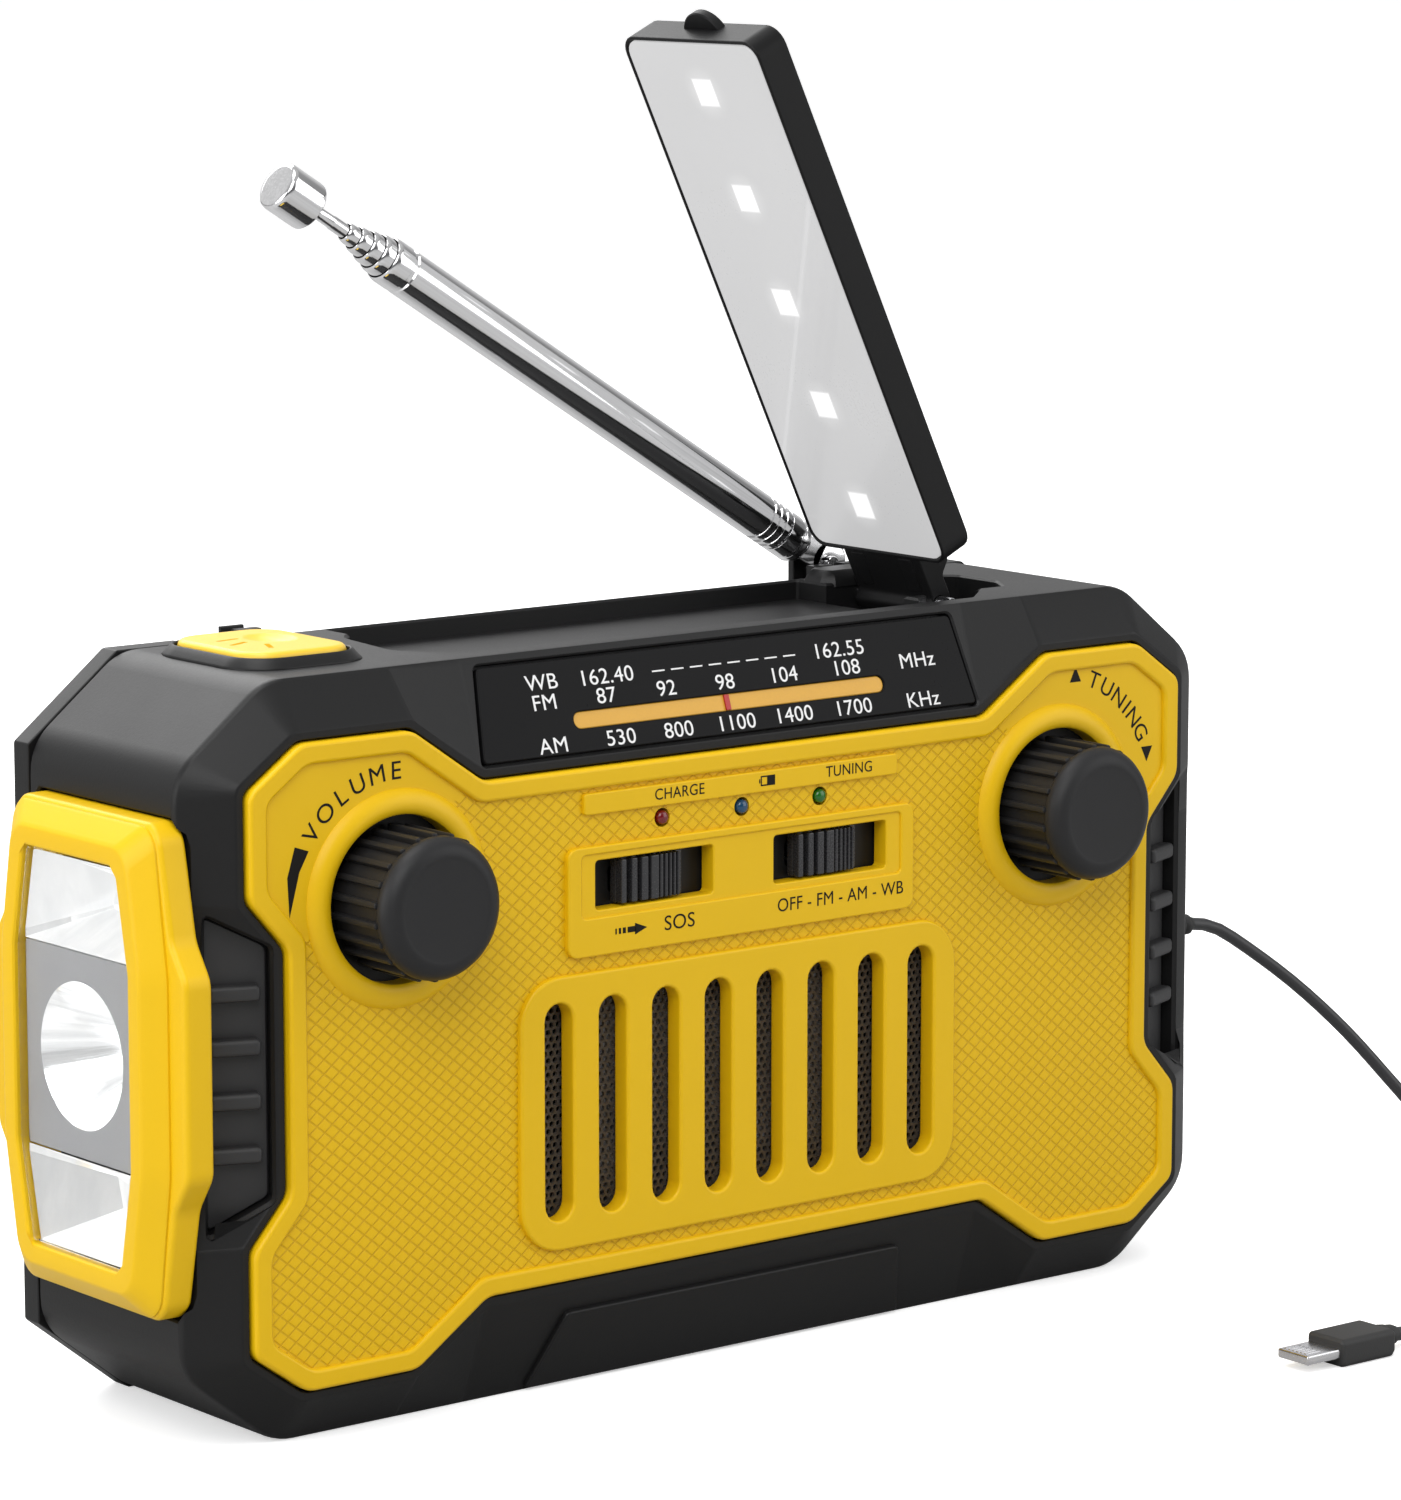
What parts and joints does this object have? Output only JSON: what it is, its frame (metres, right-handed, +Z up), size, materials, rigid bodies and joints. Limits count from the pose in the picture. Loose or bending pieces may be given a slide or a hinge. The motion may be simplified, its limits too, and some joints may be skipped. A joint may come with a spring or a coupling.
{
  "type": "emergency radio",
  "caption": "Portable emergency radio with fold-up reading lamp and solar panel, end torch, telescopic antenna, hand crank generator, ribbed knobs, slotted speaker and charging lead.",
  "frame": {"origin": "middle of the flat base, on the surface it stands on", "axes": "+Z up, -Y towards the control panel, +X towards the end with the ports, -X towards the torch"},
  "size_m": [0.2713, 0.1186, 0.1971],
  "materials": {
    "black_case": "fine moulded texture, satin black",
    "yellow_case": "satin yellow with moulded cross-hatch",
    "grip_rubber": "matt",
    "dial_black": "gloss black with white print",
    "pointer_red": "gloss",
    "knob_black": "satin black",
    "bright_metal": "polished",
    "zinc_steel": "plated",
    "red_led": "clear tinted",
    "blue_led": "clear tinted",
    "green_led": "clear tinted",
    "speaker_cloth": "open woven",
    "speaker_metal": "pressed",
    "clear_window": "clear",
    "mirror_plastic": "vacuum plated",
    "led_board": "white solder mask",
    "button_yellow": "satin",
    "white_diffuser": "opal",
    "solar_cell": "dark blue cell under clear cover",
    "gear_nylon": "natural nylon",
    "motor_steel": "plated",
    "battery_wrap": "shrink film",
    "circuit_board": "green solder mask",
    "ferrite_black": "sintered",
    "port_metal": "tin plated",
    "seal_rubber": "matt",
    "lead_jacket": "satin flexible PVC",
    "capacitor_white": "moulded"
  },
  "bodies": {
    "radio": {"main_housing": "black_case", "rear_cover": "black_case", "left_grip": "grip_rubber", "right_grip": "grip_rubber", "case_screw_1": "zinc_steel", "case_screw_2": "zinc_steel", "case_screw_3": "zinc_steel", "case_screw_4": "zinc_steel", "front_panel": "yellow_case", "dial_window": "dial_black", "volume_potentiometer": "zinc_steel", "tuning_capacitor": "capacitor_white", "charge_led": "red_led", "power_led": "blue_led", "tuning_led": "green_led", "speaker_mesh": "speaker_cloth", "speaker": "speaker_metal", "torch_bezel": "yellow_case", "torch_lens": "clear_window", "torch_reflector": "mirror_plastic", "torch_led_board": "led_board", "button_ring": "black_case", "lamp_hinge_pin": "zinc_steel", "generator": "motor_steel", "battery": "battery_wrap", "main_board": "circuit_board", "ferrite_aerial": "ferrite_black", "usb_port": "port_metal", "charge_port": "port_metal", "headphone_jack": "seal_rubber", "usb_plug": "lead_jacket", "cord_lead": "lead_jacket", "cord_tail": "lead_jacket", "cord_coil": "lead_jacket", "phone_connector": "lead_jacket"},
    "lamp": {"lamp_case": "black_case", "lamp_diffuser": "white_diffuser", "lamp_led_strip": "led_board", "solar_panel": "solar_cell"},
    "antenna": {"antenna_base": "bright_metal", "antenna_tube": "bright_metal"},
    "antenna_1": {"antenna_section_1": "bright_metal"},
    "antenna_2": {"antenna_section_2": "bright_metal"},
    "antenna_3": {"antenna_section_3": "bright_metal"},
    "antenna_4": {"antenna_section_4": "bright_metal"},
    "antenna_end": {"antenna_tip": "bright_metal"},
    "volume": {"volume_knob": "knob_black"},
    "tuning": {"tuning_knob": "knob_black"},
    "pointer": {"dial_pointer": "pointer_red"},
    "torch_switch": {"torch_switch_slider": "knob_black"},
    "band_switch": {"band_switch_slider": "knob_black"},
    "light_button_body": {"light_button": "button_yellow"},
    "crank": {"crank_gear": "gear_nylon", "crank_hub": "black_case", "crank_arm": "black_case"},
    "handle_arm": {"handle_spindle": "zinc_steel"},
    "handle": {"crank_handle": "black_case"},
    "generator_gear": {"generator_pinion": "gear_nylon"},
    "battery_lid": {"battery_door": "black_case"},
    "port_flap": {"port_cover": "seal_rubber"}
  },
  "joints": [
    {"name": "lamp_hinge", "type": "hinge", "parent": "radio", "child": "lamp", "pos_m": [0.0524, -0.0017, 0.1063], "axis": [0, 1, 0], "range_deg": [-64.3, 55.7]},
    {"name": "antenna_tilt", "type": "hinge", "parent": "radio", "child": "antenna", "pos_m": [0.0542, 0.0191, 0.1096], "axis": [0, 1, 0], "range_deg": [-31.4, 58.6]},
    {"name": "antenna_slide_1", "type": "slide", "parent": "antenna", "child": "antenna_1", "axis": [-0.8536, 0, 0.521], "range_m": [0, 0.08]},
    {"name": "antenna_slide_2", "type": "slide", "parent": "antenna_1", "child": "antenna_2", "axis": [-0.8536, 0, 0.521], "range_m": [0, 0.08]},
    {"name": "antenna_slide_3", "type": "slide", "parent": "antenna_2", "child": "antenna_3", "axis": [-0.8536, 0, 0.521], "range_m": [0, 0.08]},
    {"name": "antenna_slide_4", "type": "slide", "parent": "antenna_3", "child": "antenna_4", "axis": [-0.8536, 0, 0.521], "range_m": [0, 0.08]},
    {"name": "antenna_slide_5", "type": "slide", "parent": "antenna_4", "child": "antenna_end", "axis": [-0.8536, 0, 0.521], "range_m": [0, 0.08]},
    {"name": "volume_turn", "type": "hinge", "parent": "radio", "child": "volume", "pos_m": [-0.0616, -0.027, 0.0762], "axis": [0, 1, 0], "range_deg": [-140, 140]},
    {"name": "tuning_turn", "type": "hinge", "parent": "radio", "child": "tuning", "pos_m": [0.0616, -0.027, 0.0762], "axis": [0, 1, 0], "range_deg": [-540, 540]},
    {"name": "pointer_slide", "type": "slide", "parent": "radio", "child": "pointer", "axis": [1, 0, 0], "range_m": [-0.0245, 0.0245]},
    {"name": "torch_switch_slide", "type": "slide", "parent": "radio", "child": "torch_switch", "axis": [1, 0, 0], "range_m": [-0.0038, 0.0038]},
    {"name": "band_switch_slide", "type": "slide", "parent": "radio", "child": "band_switch", "axis": [1, 0, 0], "range_m": [-0.0038, 0.0038]},
    {"name": "light_button_press", "type": "slide", "parent": "radio", "child": "light_button_body", "axis": [0, 0, -1], "range_m": [0, 0.0008], "stiffness_N_per_m": 500},
    {"name": "crank_turn", "type": "hinge", "parent": "radio", "child": "crank", "pos_m": [0.035, 0.0213, 0.053], "axis": [0, 1, 0], "continuous": true},
    {"name": "handle_fold", "type": "hinge", "parent": "crank", "child": "handle_arm", "pos_m": [-0.007, 0.0267, 0.053], "axis": [0, 0, 1], "range_deg": [0, 90]},
    {"name": "handle_spin", "type": "hinge", "parent": "handle_arm", "child": "handle", "pos_m": [-0.007, 0.0267, 0.053], "axis": [1, 0, 0], "continuous": true},
    {"name": "generator_turn", "type": "hinge", "parent": "radio", "child": "generator_gear", "pos_m": [0.035, 0.0162, 0.02865], "axis": [0, 1, 0], "continuous": true},
    {"name": "battery_door_pull", "type": "slide", "parent": "radio", "child": "battery_lid", "axis": [0, 1, 0], "range_m": [0, 0.02]},
    {"name": "port_flap_hinge", "type": "hinge", "parent": "radio", "child": "port_flap", "pos_m": [0.0953, 0.0057, 0.059], "axis": [0, 1, 0], "range_deg": [0, 80]}
  ],
  "couplings": [
    {"joint": "pointer_slide", "follows": "tuning_turn", "m_per_rad": 0.0025465},
    {"joint": "generator_turn", "follows": "crank_turn", "ratio": -3}
  ]
}
